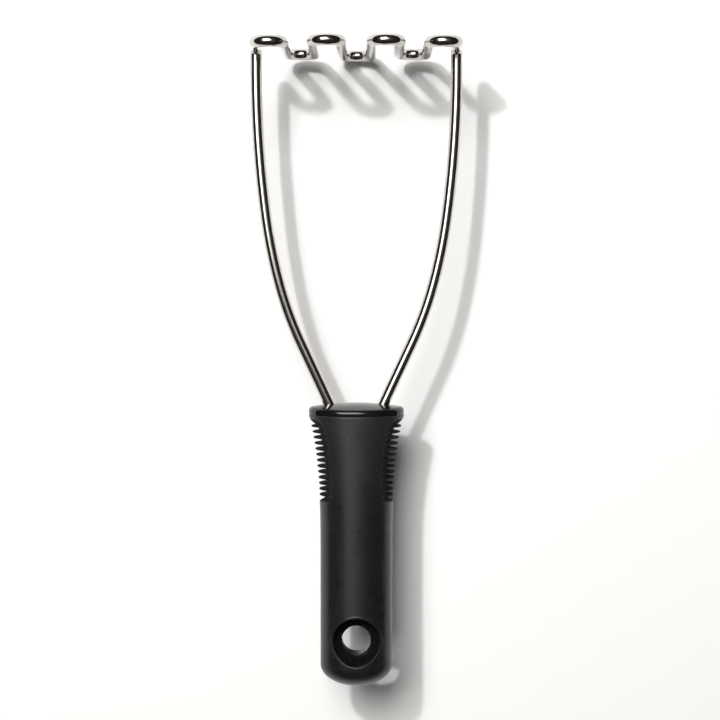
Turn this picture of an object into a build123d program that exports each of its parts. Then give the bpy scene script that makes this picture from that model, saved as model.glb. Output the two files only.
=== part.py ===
from build123d import *
from math import copysign
import os

# A wire potato masher lying on its back.
# X runs across the mashing head, Y runs up the handle towards the head, and Z points up
# out of the front of the handle.  The origin is the middle of the hanging hole.
# All lengths are millimetres.

# ---------------------------------------------------------------- driving dimensions

# wire
WIRE_R = 2.5                  # radius of the stainless wire
HEAD_Y = 257.2                # centre line of the mashing wire
CORNER_R = 3.1                # bend between an arm and the mashing wire

# mashing wire: its bends alternate between the front (+Z) and the back (-Z)
BEND_COUNT = 7
BEND_PITCH = 12.45            # step in X from one bend to the next
OUTER_X = 36.5                # the first and the last bend stand a little closer in
FRONT_REACH = 38.0            # how far the front bends stand from the plane of the arms
OUTER_FRONT_REACH = 32.2      # the same for the first and the last bend
BACK_REACH = 30.3             # how far the back bends stand from it
MIDDLE_BACK_REACH = 38.0      # the same for the back bend in the middle
FRONT_SPREAD = 5.75           # half the distance between the two legs of a front bend
FRONT_BEND_R = 5.6
BACK_SPREAD = 6.55            # half the distance between the two legs of a back bend
BACK_BEND_R = 6.3

# arms
ARM_TILT = 24.9               # slope of the lower stretch from the handle's axis, degrees
ARM_ARCS = ((157.0, 9.9), (230.0, 7.4), (480.0, 7.6))   # radius and turn, going up
ARM_STRAIGHT = 35.5           # straight stretch between the tail's bend and the arcs
TAIL_X = 8.0                  # the tails stand parallel inside the core
TAIL_FOOT_Y = 46.0
TAIL_BEND_Y = 92.3            # where a tail starts to lean outwards
TAIL_BEND_R = 12.0

# outline of the handle: a plain oval shank that widens towards the collar
SHANK_A = 15.75               # half width of the shank
SHANK_B = 12.5                # half thickness of the shank
END_Y = -20.8                 # tip of the rounded end
END_RISE = 9.6                # height of the rounded end
END_STRAIGHT = 1.0            # short straight stretch above the rounded end
FLARE_Y = 40.0                # the handle widens from here up
TOP_Y = 98.5                  # joint between grip and collar
TOP_A = 20.85                 # half width at the joint
TOP_B = 13.2                  # half thickness at the joint
FLARE_POWER = 2.7             # the flare starts gently and ends steeply
FLARE_STEPS = 6

# fins: they stand in a recess on each side of the grip
FIN_COUNT = 13
FIN_PITCH = 2.5
FIN_THICK = 0.8
FIRST_FIN_Y = 93.6            # middle of the fin next to the collar
RECESS_FLOOR_A = 13.2         # half width of the recess floor at its lower end
RECESS_FLOOR_TOP_A = 17.4     # half width of the recess floor at its upper end
RECESS_FLOOR_B = 18.0         # how flat the floor is: half height of its oval
RECESS_BOTTOM_Y = 62.0
RECESS_TOP_Y = 94.9
RECESS_POWER = 2.8
LIP_Y = 97.6                  # the lip above the fins slopes in from here
SLOPE_Y = 60.8                # the recess ends in a slope down to here
SLOPE_HALF_DEPTH = 6.25       # how far the lip and the slope reach towards each face

# core
CORE_A = 12.0
CORE_B = 7.5
CORE_ROUND = 3.0
SHOULDER_A = 14.8
SHOULDER_B = 8.6
SHOULDER_Y = 93.0

# collar
COLLAR_RISE = 5.25            # height of the collar in its middle
COLLAR_SET_BACK = 0.2         # its foot stands this far inside the grip's top edge
COLLAR_SPREAD = 0.35          # its side widens by this much over its height
DOME_ACROSS_R = 115.0         # curvature of its top along the wide side of the handle
DOME_THROUGH_R = 31.4         # and along the narrow side
COLLAR_ROUND = 1.9
ARM_HOLE_R = 2.8

# hanging hole
BORE_R = 6.3
BORE_HALF = 4.15              # half length of the straight bore
DISH_R = 10.7                 # radius of the dish where it meets the surface
DISH_MID_R = 9.4              # a point halfway down the dish
DISH_MID_Z = 6.6
LINER_HUB_R = 8.0             # outside of the liner around the bore
LINER_HUB_HALF = 3.0
LINER_LIP = 0.5               # wall of the liner at the surface

ROOM = 30.0                   # larger than any half size of the handle's section


# ---------------------------------------------------------------- outline of the handle

def flare(y):
    """How far the handle has widened at height y, from 0 to 1."""
    return max(0.0, (y - FLARE_Y) / (TOP_Y - FLARE_Y)) ** FLARE_POWER


def half_width(y):
    return SHANK_A + (TOP_A - SHANK_A) * flare(y)


def half_thickness(y):
    return SHANK_B + (TOP_B - SHANK_B) * flare(y)


def recess_floor(y):
    """Half width of the floor between the fins at height y."""
    rise = max(0.0, (y - RECESS_BOTTOM_Y) / (RECESS_TOP_Y - RECESS_BOTTOM_Y))
    return RECESS_FLOOR_A + (RECESS_FLOOR_TOP_A - RECESS_FLOOR_A) * rise ** RECESS_POWER


def handle_body():
    """The handle's whole outer shape, without fins: shank, flared top and rounded end."""
    with BuildPart() as rounded_end:
        with BuildSketch(Plane.XY):
            with BuildLine():
                Line((0, END_Y), (0, END_Y + END_RISE + END_STRAIGHT))
                Line((0, END_Y + END_RISE + END_STRAIGHT), (SHANK_A, END_Y + END_RISE + END_STRAIGHT))
                Line((SHANK_A, END_Y + END_RISE + END_STRAIGHT), (SHANK_A, END_Y + END_RISE))
                EllipticalCenterArc((0, END_Y + END_RISE), SHANK_A, END_RISE, start_angle=270)
            make_face()
        revolve(axis=Axis.Y)
        scale(by=(1, 1, SHANK_B / SHANK_A))

    with BuildPart() as body:
        for step in range(FLARE_STEPS + 1):
            y = FLARE_Y + (TOP_Y - FLARE_Y) * step / FLARE_STEPS
            with BuildSketch(Plane.XZ.offset(-y)):
                Ellipse(half_width(y), half_thickness(y))
        loft()
        with BuildSketch(Plane.XZ.offset(-FLARE_Y)):
            Ellipse(SHANK_A, SHANK_B)
        extrude(amount=FLARE_Y - END_Y - END_RISE - END_STRAIGHT)
        add(rounded_end.part)
    return body.part


# ---------------------------------------------------------------- wire

def arm_line():
    """Centre line of the right arm, from its tail inside the core up to the corner."""
    with BuildLine() as line:
        tail = Line((TAIL_X, TAIL_FOOT_Y), (TAIL_X, TAIL_BEND_Y))
        lean = JernArc(tail @ 1, tail % 1, TAIL_BEND_R, -ARM_TILT)
        stretch = Line(lean @ 1, (lean @ 1) + (lean % 1) * ARM_STRAIGHT)
        end = stretch
        for radius, turn in ARM_ARCS:
            end = JernArc(end @ 1, end % 1, radius, turn)
    return line.line


def rod_along(line, radius):
    """Round rod that follows a centre line."""
    with BuildPart() as rod:
        with BuildSketch(Plane(origin=line @ 0, z_dir=line % 0)):
            Circle(radius)
        sweep(path=line)
    return rod.part


def bend_corners(number):
    """The two corners of one bend of the mashing wire, in the order the wire runs."""
    middle = (number - (BEND_COUNT - 1) / 2) * BEND_PITCH
    if number % 2 == 0:
        spread = FRONT_SPREAD
        depth = FRONT_REACH
    else:
        spread = BACK_SPREAD
        depth = -BACK_REACH
    if number in (0, BEND_COUNT - 1):
        middle = copysign(OUTER_X, middle)
        depth = OUTER_FRONT_REACH
    if middle == 0:
        depth = -MIDDLE_BACK_REACH
    return [(middle - spread, HEAD_Y, depth), (middle + spread, HEAD_Y, depth)]


def mashing_line():
    """Centre line of the mashing wire, from the top of one arm to the top of the other."""
    arm_top = arm_line() @ 1
    start = Vector(-arm_top.X, arm_top.Y, 0)
    finish = Vector(arm_top.X, arm_top.Y, 0)
    points = [start, (start.X, HEAD_Y, 0)]
    radii = [CORNER_R]
    for number in range(BEND_COUNT):
        points += bend_corners(number)
        radii += [FRONT_BEND_R if number % 2 == 0 else BACK_BEND_R] * 2
    points += [(finish.X, HEAD_Y, 0), finish]
    radii += [CORNER_R]
    with BuildLine() as line:
        FilletPolyline(*points, radius=radii)
    return line.line


# ---------------------------------------------------------------- core and liner

def core_blank():
    """The core before its holes: a flat bar, round at the hanging hole, with a shoulder."""
    with BuildPart() as blank:
        with BuildSketch(Plane.XY.offset(-CORE_B)):
            Circle(CORE_A)
            with Locations((0, SHOULDER_Y / 2)):
                Rectangle(2 * CORE_A, SHOULDER_Y)
        extrude(amount=2 * CORE_B)
        fillet(blank.edges().group_by(Axis.Z)[0] + blank.edges().group_by(Axis.Z)[-1], CORE_ROUND)
        with BuildSketch(Plane.XZ.offset(-SHOULDER_Y)):
            RectangleRounded(2 * SHOULDER_A, 2 * SHOULDER_B, CORE_ROUND)
        extrude(amount=SHOULDER_Y - TOP_Y)
    return blank.part


def liner_blank():
    """Outside of the liner: a spool that opens towards both faces of the handle."""
    with BuildPart() as spool:
        with BuildSketch(Plane.XZ):
            with BuildLine():
                rim_r = DISH_R + LINER_LIP
                Polyline(
                    (0, -ROOM), (rim_r, -ROOM), (rim_r, -DISH_MID_Z - LINER_LIP),
                    (LINER_HUB_R, -LINER_HUB_HALF), (LINER_HUB_R, LINER_HUB_HALF),
                    (rim_r, DISH_MID_Z + LINER_LIP), (rim_r, ROOM), (0, ROOM), close=True,
                )
            make_face()
        revolve(axis=Axis.Z)
    return spool.part


def hole_shape():
    """What is empty in the hanging hole: a straight bore between two round dishes."""
    with BuildPart() as hole:
        with BuildSketch(Plane.XZ):
            with BuildLine():
                Polyline((0, -ROOM), (DISH_R, -ROOM), (DISH_R, -SHANK_B))
                ThreePointArc((DISH_R, -SHANK_B), (DISH_MID_R, -DISH_MID_Z), (BORE_R, -BORE_HALF))
                Line((BORE_R, -BORE_HALF), (BORE_R, BORE_HALF))
                ThreePointArc((BORE_R, BORE_HALF), (DISH_MID_R, DISH_MID_Z), (DISH_R, SHANK_B))
                Polyline((DISH_R, SHANK_B), (DISH_R, ROOM), (0, ROOM), (0, -ROOM))
            make_face()
        revolve(axis=Axis.Z)
    return hole.part


# ---------------------------------------------------------------- sub-parts

# right arm, and the left arm as its mirror image
with BuildPart() as right_arm:
    add(rod_along(arm_line(), WIRE_R))
right_arm.part.label = "right_arm"

with BuildPart() as left_arm:
    add(mirror(right_arm.part, about=Plane.YZ))
left_arm.part.label = "left_arm"

# mashing wire, with the corner bends that meet the arms
with BuildPart() as mashing_wire:
    add(rod_along(mashing_line(), WIRE_R))
mashing_wire.part.label = "mashing_wire"

# handle core: the wire's tails and the liner sit in it
with BuildPart() as handle_core:
    add(core_blank())
    add(right_arm.part, mode=Mode.SUBTRACT)
    add(left_arm.part, mode=Mode.SUBTRACT)
    add(liner_blank(), mode=Mode.SUBTRACT)
handle_core.part.label = "handle_core"

# liner of the hanging hole, trimmed to the handle's surface
with BuildPart() as hole_liner:
    add(liner_blank())
    add(hole_shape(), mode=Mode.SUBTRACT)
    add(handle_body(), mode=Mode.INTERSECT)
hole_liner.part.label = "hole_liner"

# grip: soft cover with a recess on each side, and fins across the recess
with BuildPart() as grip:
    add(handle_body())
    for number in range(FIN_COUNT - 1):
        gap_top = FIRST_FIN_Y - number * FIN_PITCH - FIN_THICK / 2
        gap = FIN_PITCH - FIN_THICK
        floor_a = recess_floor(gap_top - gap / 2)
        with BuildSketch(Plane.XZ.offset(-gap_top)):
            Rectangle(2 * ROOM, 2 * ROOM)
            Ellipse(floor_a, RECESS_FLOOR_B, mode=Mode.SUBTRACT)
        extrude(amount=gap, mode=Mode.SUBTRACT)
    # slope under the lip and slope at the foot of the recess
    first_top = FIRST_FIN_Y + FIN_THICK / 2
    last_bottom = FIRST_FIN_Y - (FIN_COUNT - 1) * FIN_PITCH - FIN_THICK / 2
    with BuildSketch(Plane.XY):
        with BuildLine():
            Polyline(
                (recess_floor(first_top), first_top), (ROOM, first_top),
                (ROOM, LIP_Y), (half_width(LIP_Y), LIP_Y), close=True,
            )
        make_face()
        with BuildLine():
            Polyline(
                (recess_floor(last_bottom), last_bottom), (ROOM, last_bottom),
                (ROOM, SLOPE_Y), (half_width(SLOPE_Y), SLOPE_Y), close=True,
            )
        make_face()
        mirror(about=Plane.YZ)
    extrude(amount=SLOPE_HALF_DEPTH, both=True, mode=Mode.SUBTRACT)
    add(core_blank(), mode=Mode.SUBTRACT)
    add(liner_blank(), mode=Mode.SUBTRACT)
grip.part.label = "grip"

# collar: domed cap over the top of the handle, with a hole for each arm
arm_hole = rod_along(arm_line(), ARM_HOLE_R)
with BuildPart() as collar:
    for rise, spread in ((0, 0), (COLLAR_RISE, COLLAR_SPREAD)):
        with BuildSketch(Plane.XZ.offset(-TOP_Y - rise)):
            Ellipse(TOP_A - COLLAR_SET_BACK + spread, TOP_B - COLLAR_SET_BACK + spread)
    loft(ruled=True)
    with Locations((0, TOP_Y + COLLAR_RISE - DOME_ACROSS_R, 0)):
        Torus(DOME_ACROSS_R - DOME_THROUGH_R, DOME_THROUGH_R, mode=Mode.INTERSECT)
    fillet(collar.edges().filter_by(GeomType.LINE, reverse=True).sort_by(Axis.Y)[-1], COLLAR_ROUND)
    add(arm_hole, mode=Mode.SUBTRACT)
    add(mirror(arm_hole, about=Plane.YZ), mode=Mode.SUBTRACT)
collar.part.label = "collar"

# ---------------------------------------------------------------- files

os.makedirs("parts", exist_ok=True)
for piece in (mashing_wire, left_arm, right_arm, handle_core, collar, grip, hole_liner):
    export_step(piece.part, f"parts/{piece.part.label}.step")
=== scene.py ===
import math

import bmesh
import bpy
from mathutils import Matrix, Vector


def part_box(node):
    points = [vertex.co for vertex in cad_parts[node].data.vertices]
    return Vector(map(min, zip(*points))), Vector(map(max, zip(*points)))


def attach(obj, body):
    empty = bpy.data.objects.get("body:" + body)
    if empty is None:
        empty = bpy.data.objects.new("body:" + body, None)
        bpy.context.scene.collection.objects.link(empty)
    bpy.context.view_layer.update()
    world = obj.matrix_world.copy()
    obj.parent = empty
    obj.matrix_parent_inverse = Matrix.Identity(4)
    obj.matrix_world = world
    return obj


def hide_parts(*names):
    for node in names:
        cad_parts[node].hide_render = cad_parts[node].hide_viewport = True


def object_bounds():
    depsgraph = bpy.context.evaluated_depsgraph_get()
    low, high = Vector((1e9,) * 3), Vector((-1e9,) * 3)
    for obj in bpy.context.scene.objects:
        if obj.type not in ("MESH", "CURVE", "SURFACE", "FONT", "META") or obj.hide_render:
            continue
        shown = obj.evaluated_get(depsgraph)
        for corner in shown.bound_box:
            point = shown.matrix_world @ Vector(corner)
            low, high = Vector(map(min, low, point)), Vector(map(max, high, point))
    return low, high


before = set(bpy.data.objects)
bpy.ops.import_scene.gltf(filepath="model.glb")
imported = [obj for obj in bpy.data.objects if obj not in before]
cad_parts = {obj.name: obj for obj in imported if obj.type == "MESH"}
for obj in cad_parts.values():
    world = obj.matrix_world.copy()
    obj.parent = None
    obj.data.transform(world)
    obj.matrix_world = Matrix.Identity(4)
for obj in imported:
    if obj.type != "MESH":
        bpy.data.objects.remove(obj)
cad_low, cad_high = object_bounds()

# All lengths are metres, in the frame of the CAD model: X across the head, Y up the handle,
# Z up out of its front face, with the origin in the middle of the hanging hole.
MM = 0.001

# ---------------------------------------------------------------- sizes read from the frame

grip_low, grip_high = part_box("grip")
_, liner_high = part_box("hole_liner")

TOP_Y = grip_high.y             # joint between grip and collar
END_Y = grip_low.y              # tip of the handle's rounded end
TOP_A = grip_high.x             # half width of the handle at the joint
TOP_B = grip_high.z             # half thickness at the joint
SHANK_B = liner_high.z          # half thickness of the plain shank
LINER_R = liner_high.x          # outer radius of the hole's liner

# ---------------------------------------------------------------- sizes of the grip's detail

SHANK_A = 15.75 * MM            # half width of the plain shank
END_RISE = 9.6 * MM             # height of the rounded end
FLARE_Y = 40.0 * MM             # the handle widens from here up
FLARE_POWER = 2.7
SEAM_ROUND = 0.5 * MM           # rounding of the grip's top edge, where it meets the collar

FIN_COUNT = 13
FIN_PITCH = 2.5 * MM
FIRST_FIN_Y = 93.6 * MM
FIN_SET_BACK = 0.15 * MM        # the fins stay this far inside the handle's outline
SET_BACK_FADE = 0.6 * MM        # where the recess is shallower than this, they come back out
FLOOR_A = 13.2 * MM             # half width of the recess floor at its lower end
FLOOR_TOP_A = 17.4 * MM         # and at its upper end
FLOOR_B = 18.0 * MM             # how flat the floor's oval is
RECESS_BOTTOM_Y = 62.0 * MM
RECESS_TOP_Y = 94.9 * MM
RECESS_POWER = 2.8
CREASE_SOFT = 0.35 * MM         # rounding of the crease between the recess and the face
CREASE_SLACK = 0.03 * MM        # what that rounding would take off the face away from it
LIP_Y = 97.9 * MM               # the lip above the fins turns in from here
LIP_FOOT = 0.8 * MM             # and ends this far above the middle of the first fin
LIP_GROOVE = 0.85               # how far in it goes, as a part of the recess's depth
LAST_FIN_FOOT = 0.81            # the last fin's profile is cut off here, in millimetres
SLOPE_GAP = 1.3 * MM            # the slope starts this far below the middle of that fin
SLOPE_Y = 60.8 * MM             # the recess runs out here
RECESS_EDGE = 0.08 * MM         # deeper than this below the outline, the rubber is a rougher copy with its reflection turned down: painted shade between the fins
SHADE_TOP_Y = LIP_Y - 1.0 * MM   # and above here it is not

DISH_R = LINER_R - 0.5 * MM     # mouth of the liner's dish
DISH_BULGE = 37.0               # how fast the dish narrows below its mouth, per metre
RIM_OVERHANG = 0.2 * MM         # how far the soft edge reaches in over the dish

# edge of the soft cover around the hole: distance outwards, height above the face
RIM_PROFILE = (
    (0.06, -1.20), (0.00, -0.35), (0.00, -0.14), (0.03, -0.03), (0.10, 0.05), (0.20, 0.09),
    (0.90, 0.09), (1.15, 0.05), (1.35, -0.03), (1.35, -0.60),
)

# distance from the middle of a fin, and how deep the surface lies there: 0 tip, 1 floor
FIN_PROFILE = (
    (0.00, 0.00), (0.14, 0.00), (0.24, 0.02), (0.31, 0.06), (0.36, 0.13), (0.39, 0.26),
    (0.42, 0.78), (0.46, 0.90), (0.55, 0.97), (0.70, 1.00), (1.24, 1.00),
)


def flare(y):
    """How far the handle has widened at height y, from 0 to 1."""
    return max(0.0, (y - FLARE_Y) / (TOP_Y - FLARE_Y)) ** FLARE_POWER


def half_width(y):
    return SHANK_A + (TOP_A - SHANK_A) * flare(y)


def half_thickness(y):
    return SHANK_B + (TOP_B - SHANK_B) * flare(y)


def recess_floor(y):
    """Half width of the floor between the fins at height y."""
    rise = max(0.0, (y - RECESS_BOTTOM_Y) / (RECESS_TOP_Y - RECESS_BOTTOM_Y))
    return FLOOR_A + (FLOOR_TOP_A - FLOOR_A) * rise ** RECESS_POWER


def oval_radius(half_x, half_z, angle):
    """Distance from the middle of an oval to its edge in one direction."""
    return 1.0 / math.hypot(math.cos(angle) / half_x, math.sin(angle) / half_z)


# ---------------------------------------------------------------- grip mesh

def grip_rows():
    """The rings of the grip from top to tip.

    Each is (height, drop below the outline, set-back in the recess, groove depth, shrink).
    """
    rows = []
    for step in range(6):
        turn = math.radians(90 * step / 5)
        drop = SEAM_ROUND * (1 - math.sin(turn))
        rows.append((TOP_Y - SEAM_ROUND + SEAM_ROUND * math.cos(turn), drop, 0.0, 0.0, 1.0))
    lip_foot = FIRST_FIN_Y + LIP_FOOT
    for step in range(1, 11):
        part = step / 10
        y = LIP_Y + (lip_foot - LIP_Y) * part
        rows.append((y, 0.0, 0.0, LIP_GROOVE * part ** 2.2, 1.0))
    for number in range(FIN_COUNT):
        middle = FIRST_FIN_Y - number * FIN_PITCH
        for away, depth in reversed(FIN_PROFILE):
            y = middle + away * MM
            if number > 0 or y < lip_foot - 0.03 * MM:
                rows.append((y, 0.0, FIN_SET_BACK, depth, 1.0))
        for away, depth in FIN_PROFILE[1:]:
            y = middle - away * MM
            if number < FIN_COUNT - 1 or away < LAST_FIN_FOOT:
                rows.append((y, 0.0, FIN_SET_BACK, depth, 1.0))
    slope_top = FIRST_FIN_Y - (FIN_COUNT - 1) * FIN_PITCH - SLOPE_GAP
    for step in range(9):
        part = step / 8
        rows.append((slope_top + (SLOPE_Y - slope_top) * part, 0.0, 0.0, (1 - part) ** 1.2, 1.0))
    shank_foot = END_Y + END_RISE
    shank_rows = 60
    for step in range(1, shank_rows + 1):
        rows.append((SLOPE_Y + (shank_foot - SLOPE_Y) * step / shank_rows, 0.0, 0.0, 0.0, 1.0))
    end_rows = 40
    for step in range(1, end_rows):
        turn = math.radians(90 * step / end_rows)
        rows.append((shank_foot - END_RISE * math.sin(turn), 0.0, 0.0, 0.0, math.cos(turn)))
    return rows


def grip_mesh(columns=256):
    """The soft grip: an oval body with fins standing in a recess on each side."""
    build = bmesh.new()
    rings = []
    for y, drop, set_back, groove, shrink in grip_rows():
        ring = []
        for column in range(columns):
            turn = 2 * math.pi * column / columns
            angle = math.atan2(SHANK_B * math.sin(turn), SHANK_A * math.cos(turn))
            outline = oval_radius(half_width(y), half_thickness(y), angle)
            floor = oval_radius(recess_floor(y), FLOOR_B, angle)
            room = outline - floor
            inside = 0.5 * (room + math.hypot(room, CREASE_SOFT))
            inside = max(0.0, inside - CREASE_SLACK)
            blend = min(1.0, inside / SET_BACK_FADE)
            radius = (outline - drop - set_back * blend - groove * inside) * shrink
            ring.append(build.verts.new((radius * math.cos(angle), y, radius * math.sin(angle))))
        rings.append(ring)
    for upper, lower in zip(rings, rings[1:]):
        for column in range(columns):
            after = (column + 1) % columns
            build.faces.new((upper[column], upper[after], lower[after], lower[column]))
    tip = build.verts.new((0, END_Y, 0))
    top = build.verts.new((0, TOP_Y, 0))
    for column in range(columns):
        after = (column + 1) % columns
        build.faces.new((rings[-1][column], rings[-1][after], tip))
        build.faces.new((rings[0][after], rings[0][column], top))
    bmesh.ops.recalc_face_normals(build, faces=build.faces)
    mesh = bpy.data.meshes.new("soft_grip")
    build.to_mesh(mesh)
    build.free()
    return mesh


def in_recess(place):
    """Whether a place on the grip's surface lies below the handle's smooth outline, where the rubber gets
    painted shade.
    """
    if not SLOPE_Y < place.y < SHADE_TOP_Y:
        return False
    angle = math.atan2(place.z, place.x)
    outline = oval_radius(half_width(place.y), half_thickness(place.y), angle)
    return outline - math.hypot(place.x, place.z) > RECESS_EDGE


def link(name, mesh):
    piece = bpy.data.objects.new(name, mesh)
    bpy.context.scene.collection.objects.link(piece)
    return piece


def smooth(mesh, angle):
    """Smooth shading, with edges sharper than the angle (in degrees) left sharp."""
    for face in mesh.polygons:
        face.use_smooth = True
    mesh.set_sharp_from_angle(angle=math.radians(angle))


def apply_modifiers(piece):
    """Puts the result of a piece's modifiers into its mesh."""
    graph = bpy.context.evaluated_depsgraph_get()
    result = bpy.data.meshes.new_from_object(piece.evaluated_get(graph))
    piece.modifiers.clear()
    piece.data = result


def round_cutter(radius, height, sides=256):
    build = bmesh.new()
    bmesh.ops.create_cone(
        build, cap_ends=True, segments=sides, radius1=radius, radius2=radius, depth=height
    )
    mesh = bpy.data.meshes.new("cutter")
    build.to_mesh(mesh)
    build.free()
    return link("cutter", mesh)


def make_grip():
    piece = link("soft_grip", grip_mesh())
    cutter = round_cutter(LINER_R - 0.05 * MM, 6 * SHANK_B)
    cut = piece.modifiers.new("hole", "BOOLEAN")
    cut.operation = "DIFFERENCE"
    cut.solver = "EXACT"
    cut.object = cutter
    apply_modifiers(piece)
    bpy.data.objects.remove(cutter)
    smooth(piece.data, 40)
    return piece


def surface_height(x):
    """Height of the plain shank's face above the middle plane, at distance x from its axis."""
    return SHANK_B * math.sqrt(1 - (x / SHANK_A) ** 2)


def make_rim(name, side):
    """Thin rolled edge of soft material around the hanging hole, on one face.

    It follows the curved face and ends just inside the mouth of the liner's dish.
    """
    around = 192
    build = bmesh.new()
    rings = []
    for step in range(around):
        turn = 2 * math.pi * step / around
        inner = DISH_R
        for _ in range(3):
            sunk = SHANK_B - surface_height(inner * math.cos(turn))
            inner = DISH_R - DISH_BULGE * sunk ** 2 - RIM_OVERHANG
        ring = []
        for out, rise in RIM_PROFILE:
            radius = inner + out * MM
            x = radius * math.cos(turn)
            z = side * (surface_height(x) + rise * MM)
            ring.append(build.verts.new((x, radius * math.sin(turn), z)))
        rings.append(ring)
    for step in range(around):
        here, ahead = rings[step], rings[(step + 1) % around]
        for point in range(len(RIM_PROFILE)):
            after = (point + 1) % len(RIM_PROFILE)
            build.faces.new((here[point], ahead[point], ahead[after], here[after]))
    bmesh.ops.recalc_face_normals(build, faces=build.faces)
    mesh = bpy.data.meshes.new(name)
    build.to_mesh(mesh)
    build.free()
    piece = link(name, mesh)
    smooth(mesh, 50)
    return piece


# ---------------------------------------------------------------- materials

class Shader:
    """A material's node tree, with short calls for the few kinds of node used here."""

    def __init__(self, name):
        self.material = bpy.data.materials.new(name)
        self.material.use_nodes = True
        self.tree = self.material.node_tree
        self.tree.nodes.clear()
        self.output = self.tree.nodes.new("ShaderNodeOutputMaterial")
        self.surface = self.tree.nodes.new("ShaderNodeBsdfPrincipled")
        self.join(self.surface.outputs["BSDF"], self.output.inputs["Surface"])

    def join(self, source, target):
        self.tree.links.new(source, target)

    def set(self, **values):
        """Sets constant inputs of the surface shader; underscores stand for spaces."""
        for key, value in values.items():
            self.surface.inputs[key.replace("_", " ")].default_value = value

    def place(self, scale=(1, 1, 1)):
        """Object coordinates in millimetres, stretched by scale."""
        coordinates = self.tree.nodes.new("ShaderNodeTexCoord")
        mapping = self.tree.nodes.new("ShaderNodeMapping")
        mapping.inputs["Scale"].default_value = [factor / MM for factor in scale]
        self.join(coordinates.outputs["Object"], mapping.inputs["Vector"])
        return mapping.outputs["Vector"]

    def noise(self, where, scale, detail=3.0, roughness=0.5):
        node = self.tree.nodes.new("ShaderNodeTexNoise")
        node.inputs["Scale"].default_value = scale
        node.inputs["Detail"].default_value = detail
        node.inputs["Roughness"].default_value = roughness
        self.join(where, node.inputs["Vector"])
        return node.outputs["Fac"]

    def split(self, where):
        """The X, Y and Z of a place, one socket each."""
        node = self.tree.nodes.new("ShaderNodeSeparateXYZ")
        self.join(where, node.inputs["Vector"])
        return node.outputs["X"], node.outputs["Y"], node.outputs["Z"]

    def remap(self, source, low, high, to_low, to_high):
        node = self.tree.nodes.new("ShaderNodeMapRange")
        node.inputs["From Min"].default_value = low
        node.inputs["From Max"].default_value = high
        node.inputs["To Min"].default_value = to_low
        node.inputs["To Max"].default_value = to_high
        self.join(source, node.inputs["Value"])
        return node.outputs["Result"]

    def mix(self, factor, first, second):
        node = self.tree.nodes.new("ShaderNodeMix")
        node.data_type = "RGBA"
        for key, colour in (("A", first), ("B", second)):
            if isinstance(colour, tuple):
                node.inputs[key].default_value = (*colour, 1)
            else:
                self.join(colour, node.inputs[key])
        self.join(factor, node.inputs["Factor"])
        return node.outputs["Result"]

    def combine(self, operation, first, second):
        node = self.tree.nodes.new("ShaderNodeMath")
        node.operation = operation
        for socket, value in zip(node.inputs, (first, second)):
            if isinstance(value, float):
                socket.default_value = value
            else:
                self.join(value, socket)
        return node.outputs["Value"]

    def bump(self, height, distance, strength=1.0):
        node = self.tree.nodes.new("ShaderNodeBump")
        node.inputs["Strength"].default_value = strength
        node.inputs["Distance"].default_value = distance
        self.join(height, node.inputs["Height"])
        self.join(node.outputs["Normal"], self.surface.inputs["Normal"])


def polished_steel():
    """Bright polished stainless wire, with fine drawing lines along it and faint smears."""
    shader = Shader("polished_steel")
    shader.set(Metallic=1.0)
    lines = shader.noise(shader.place((2.4, 0.05, 2.4)), 1.0, 4.0, 0.6)
    smears = shader.noise(shader.place((0.06, 0.03, 0.06)), 1.0, 3.0)
    tint = shader.mix(shader.remap(smears, 0.3, 0.7, 0, 1), (0.66, 0.635, 0.60), (0.58, 0.555, 0.525))
    shader.join(tint, shader.surface.inputs["Base Color"])
    uneven = shader.combine("ADD", shader.remap(lines, 0.3, 0.7, 0.0, 0.04),
                            shader.remap(smears, 0.35, 0.7, 0.07, 0.13))
    shader.join(uneven, shader.surface.inputs["Roughness"])
    shader.bump(lines, 0.004 * MM, 0.5)
    return shader.material


def soft_rubber(name, gloss, rough):
    """Matte black soft grip with a fine moulded grain and slightly greasy patches, and a painted
    highlight that makes it lighter towards the top.
    """
    shader = Shader(name)
    shader.set(Specular_IOR_Level=gloss, IOR=1.46)
    where = shader.place()
    grain = shader.noise(where, 1.5, 4.0, 0.65)
    patches = shader.noise(where, 0.12, 4.0, 0.55)
    dust = shader.remap(shader.noise(where, 0.9, 2.0, 0.5), 0.66, 0.74, 0, 1)
    tint = shader.mix(shader.remap(patches, 0.3, 0.7, 0, 1),
                      (0.0068, 0.0068, 0.0084), (0.0092, 0.0092, 0.0112))
    # painted highlight: the colour grows lighter towards the top of the grip, from 55 to 100 mm up the
    # handle
    _, along, _ = shader.split(where)
    tint = shader.mix(shader.remap(along, 55.0, 100.0, 0, 1), tint, (0.0165, 0.0165, 0.0190))
    shader.join(shader.mix(dust, tint, (0.03, 0.03, 0.032)), shader.surface.inputs["Base Color"])
    uneven = shader.combine("ADD", shader.remap(patches, 0.3, 0.7, rough, rough + 0.08),
                            shader.remap(grain, 0.3, 0.7, -0.05, 0.05))
    shader.join(uneven, shader.surface.inputs["Roughness"])
    shader.bump(grain, 0.045 * MM, 0.8)
    return shader.material


def hard_black(name, gloss, rough, fine):
    """Black moulded plastic with faint handling marks."""
    shader = Shader(name)
    shader.set(Specular_IOR_Level=gloss, IOR=1.5)
    where = shader.place()
    marks = shader.noise(where, 0.5, 4.0, 0.6)
    tint = shader.mix(shader.remap(marks, 0.3, 0.7, 0, 1), (0.004, 0.004, 0.004), (0.006, 0.006, 0.007))
    shader.join(tint, shader.surface.inputs["Base Color"])
    shader.join(shader.remap(marks, 0.3, 0.7, rough, rough + fine), shader.surface.inputs["Roughness"])
    shader.bump(shader.noise(where, 0.25, 2.0), 0.01 * MM, 0.5)
    return shader.material


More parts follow.
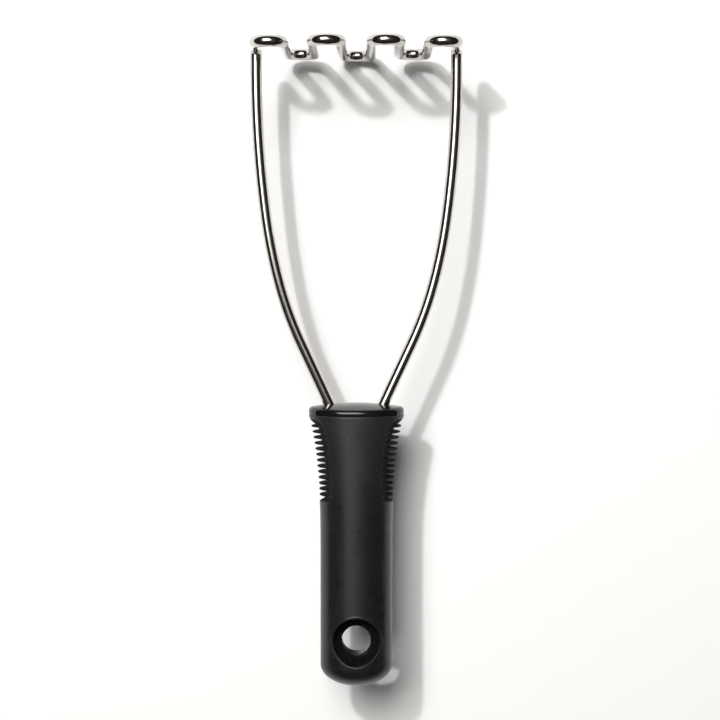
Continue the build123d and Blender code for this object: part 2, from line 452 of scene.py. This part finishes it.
def core_plastic():
    """Plain moulded plastic of the core, which the grip hides."""
    shader = Shader("core_plastic")
    where = shader.place()
    flow = shader.noise(where, 0.3, 3.0)
    tint = shader.mix(shader.remap(flow, 0.3, 0.7, 0, 1), (0.035, 0.035, 0.035), (0.05, 0.05, 0.052))
    shader.join(tint, shader.surface.inputs["Base Color"])
    shader.join(shader.remap(flow, 0.3, 0.7, 0.4, 0.55), shader.surface.inputs["Roughness"])
    shader.bump(flow, 0.02 * MM, 0.4)
    return shader.material


def pale_floor():
    """Plain pale paper, which stays pale out to the horizon, where the lamps do not reach."""
    shader = Shader("pale_floor")
    shader.set(Roughness=0.9, Specular_IOR_Level=0.1)
    where = shader.place()
    cloud = shader.noise(where, 0.004, 3.0)
    tint = shader.mix(shader.remap(cloud, 0.3, 0.7, 0, 1), (0.83, 0.83, 0.825), (0.85, 0.85, 0.845))
    shader.join(tint, shader.surface.inputs["Base Color"])
    across, along, _ = shader.split(where)
    away = shader.combine("ADD", shader.combine("MULTIPLY", across, across),
                          shader.combine("MULTIPLY", along, along))
    far = shader.remap(shader.combine("POWER", away, 0.5), 500.0, 2600.0, 0.0, 0.86)
    to_eye = shader.tree.nodes.new("ShaderNodeLightPath").outputs["Is Camera Ray"]
    shader.join(shader.combine("MULTIPLY", far, to_eye), shader.surface.inputs["Emission Strength"])
    shader.set(Emission_Color=(1.0, 0.995, 0.985, 1.0))
    return shader.material


def wear(node, material):
    """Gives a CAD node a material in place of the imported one."""
    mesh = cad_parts[node].data
    mesh.materials.clear()
    mesh.materials.append(material)


# ---------------------------------------------------------------- pieces

steel = polished_steel()
rubber = soft_rubber("soft_rubber", 0.58, 0.28)
# a second copy of the rubber, rougher and with its reflection turned down, darkens the recess between the
# fins: painted shade
recess_shade_rubber = soft_rubber("recess_shade_rubber", 0.04, 0.60)
glossy = hard_black("glossy_black", 0.7, 0.06, 0.04)
satin = hard_black("satin_black", 0.25, 0.22, 0.06)

for node in ("mashing_wire", "left_arm", "right_arm"):
    wear(node, steel)
wear("collar", glossy)
wear("hole_liner", satin)
wear("handle_core", core_plastic())

soft_grip = make_grip()
soft_grip.data.materials.clear()
soft_grip.data.materials.append(rubber)
soft_grip.data.materials.append(recess_shade_rubber)
# faces down in the recess take the darker copy: painted shade between the fins
for face in soft_grip.data.polygons:
    face.material_index = int(in_recess(face.center))
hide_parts("grip")
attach(soft_grip, "root")

for name, side in (("front_rim", 1), ("back_rim", -1)):
    rim = make_rim(name, side)
    rim.data.materials.append(rubber)
    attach(rim, "root")

# ---------------------------------------------------------------- camera and light

DISTANCE = 0.880                # from the camera to the middle of the masher
LEAN = math.radians(3.4)        # the camera stands this far towards the head's end
LENS = 101.0
FLOOR_DROP = 0.0492             # the table lies this far behind the middle of the masher
FLOOR_TILT = math.radians(1.5)  # and comes this much closer towards the head
AIM = Vector((1.6 * MM, (cad_low.y + cad_high.y) / 2 + 2.85 * MM, 0))

# the soft box that glossy surfaces reflect, on a plane one unit above the masher
BOX_MIDDLE = (-0.22, 0.38)
BOX_TURN = math.radians(14)
BOX_HALF = (0.37, 0.37)
BOX_SOFT = 0.10
BOX_POWER = 5.4
GLOW_HALF = (0.83, 0.83)
GLOW_SOFT = 0.37
GLOW_POWER = 0.08
WORLD_DIM = 0.022
WORLD_PALE = 0.08
BACKDROP = 0.95

right = Vector((1, 0, 0))
upward = Vector((0, math.cos(LEAN), -math.sin(LEAN)))
toward = Vector((0, math.sin(LEAN), math.cos(LEAN)))


def seen_from_camera(across, up, near):
    """A place given by how far it lies right, up and towards the camera from the aim."""
    return AIM + right * across + upward * up + toward * near


def turn_to(direction, up):
    """Rotation that points -Z along a direction, with Y as near to up as it goes."""
    back = -direction.normalized()
    side = up.cross(back).normalized()
    top = back.cross(side)
    return Matrix((side, top, back)).transposed().to_euler()


def make_floor():
    build = bmesh.new()
    bmesh.ops.create_grid(build, x_segments=8, y_segments=8, size=6.0)
    mesh = bpy.data.meshes.new("floor")
    build.to_mesh(mesh)
    build.free()
    floor = link("floor", mesh)
    floor.location = AIM - Vector((0, 0, FLOOR_DROP))
    floor.rotation_euler = (FLOOR_TILT, 0, 0)
    mesh.materials.append(pale_floor())


def make_camera():
    data = bpy.data.cameras.new("camera")
    data.lens = LENS
    data.sensor_width = 36.0
    data.clip_start = 0.01
    data.clip_end = 50.0
    camera = bpy.data.objects.new("camera", data)
    bpy.context.scene.collection.objects.link(camera)
    camera.location = seen_from_camera(0, 0, DISTANCE)
    camera.rotation_euler = turn_to(-toward, upward)
    bpy.context.scene.camera = camera


def make_wash(place, width, power):
    """The wide soft lamp beside the key.  Glossy surfaces reflect the world's box instead."""
    data = bpy.data.lights.new("wash", "AREA")
    data.shape = "SQUARE"
    data.color = (1.0, 0.985, 0.965)
    data.size = width
    data.energy = power
    light = bpy.data.objects.new("wash", data)
    bpy.context.scene.collection.objects.link(light)
    light.location = place
    light.rotation_euler = turn_to(AIM - place, Vector((0, 1, 0)))
    light.visible_camera = False
    light.visible_glossy = False
    return light


def make_key(place, power, size):
    """The small bright lamp that throws the sharp shadows."""
    data = bpy.data.lights.new("key", "POINT")
    data.energy = power
    data.shadow_soft_size = size
    light = bpy.data.objects.new("key", data)
    bpy.context.scene.collection.objects.link(light)
    light.location = place
    light.visible_camera = False
    light.visible_glossy = False
    return light


def make_world():
    """A studio: pale all round, but in reflections dim with one broad soft box overhead.

    The soft box is a rotated rectangle with soft edges, and has a faint glow around it.
    """
    world = bpy.data.worlds.new("studio")
    bpy.context.scene.world = world
    world.use_nodes = True
    tree = world.node_tree
    tree.nodes.clear()

    def join(source, target):
        tree.links.new(source, target)

    def calculate(operation, *values):
        node = tree.nodes.new("ShaderNodeMath")
        node.operation = operation
        for socket, value in zip(node.inputs, values):
            if isinstance(value, (int, float)):
                socket.default_value = value
            else:
                join(value, socket)
        return node.outputs["Value"]

    def ramp(value, start, end, low, high):
        node = tree.nodes.new("ShaderNodeMapRange")
        node.interpolation_type = "SMOOTHSTEP"
        for key, number in (("From Min", start), ("From Max", end), ("To Min", low), ("To Max", high)):
            node.inputs[key].default_value = number
        join(value, node.inputs["Value"])
        return node.outputs["Result"]

    direction = tree.nodes.new("ShaderNodeTexCoord").outputs["Generated"]
    split = tree.nodes.new("ShaderNodeSeparateXYZ")
    join(direction, split.inputs["Vector"])
    rise = calculate("MAXIMUM", split.outputs["Z"], 0.05)
    above = calculate("GREATER_THAN", split.outputs["Z"], 0.02)

    def rectangle(middle, turn, half, soft):
        across = calculate("SUBTRACT", calculate("DIVIDE", split.outputs["X"], rise), middle[0])
        along = calculate("SUBTRACT", calculate("DIVIDE", split.outputs["Y"], rise), middle[1])
        cosine, sine = math.cos(turn), math.sin(turn)
        wide = calculate("ADD", calculate("MULTIPLY", across, cosine), calculate("MULTIPLY", along, sine))
        high = calculate("SUBTRACT", calculate("MULTIPLY", along, cosine),
                         calculate("MULTIPLY", across, sine))
        within = above
        for value, reach in ((wide, half[0]), (high, half[1])):
            inside = ramp(calculate("ABSOLUTE", value), reach - soft, reach + soft, 1, 0)
            within = calculate("MULTIPLY", within, inside)
        return within

    paths = tree.nodes.new("ShaderNodeLightPath")
    to_eye = paths.outputs["Is Camera Ray"]
    in_gloss = paths.outputs["Is Glossy Ray"]
    box = calculate("MULTIPLY", rectangle(BOX_MIDDLE, BOX_TURN, BOX_HALF, BOX_SOFT), BOX_POWER)
    glow = calculate("MULTIPLY", rectangle(BOX_MIDDLE, BOX_TURN, GLOW_HALF, GLOW_SOFT), GLOW_POWER)
    seen_in_gloss = calculate("ADD", calculate("ADD", box, glow), WORLD_DIM)
    unlit = calculate("SUBTRACT", 1, calculate("ADD", in_gloss, to_eye))
    strength = calculate("ADD", calculate("MULTIPLY", seen_in_gloss, in_gloss),
                         calculate("MULTIPLY", unlit, WORLD_PALE))
    strength = calculate("ADD", strength, calculate("MULTIPLY", to_eye, BACKDROP))
    backdrop = tree.nodes.new("ShaderNodeBackground")
    backdrop.inputs["Color"].default_value = (1.0, 0.985, 0.97, 1)
    join(strength, backdrop.inputs["Strength"])
    output = tree.nodes.new("ShaderNodeOutputWorld")
    join(backdrop.outputs["Background"], output.inputs["Surface"])


make_camera()
make_floor()
make_key(seen_from_camera(-0.264, 0.351, 1.016), 23.0, 0.021)
make_wash(seen_from_camera(-0.375, 0.640, 2.140), 0.84, 50.0)
make_world()

scene = bpy.context.scene
scene.view_settings.view_transform = "Standard"
scene.view_settings.look = "None"
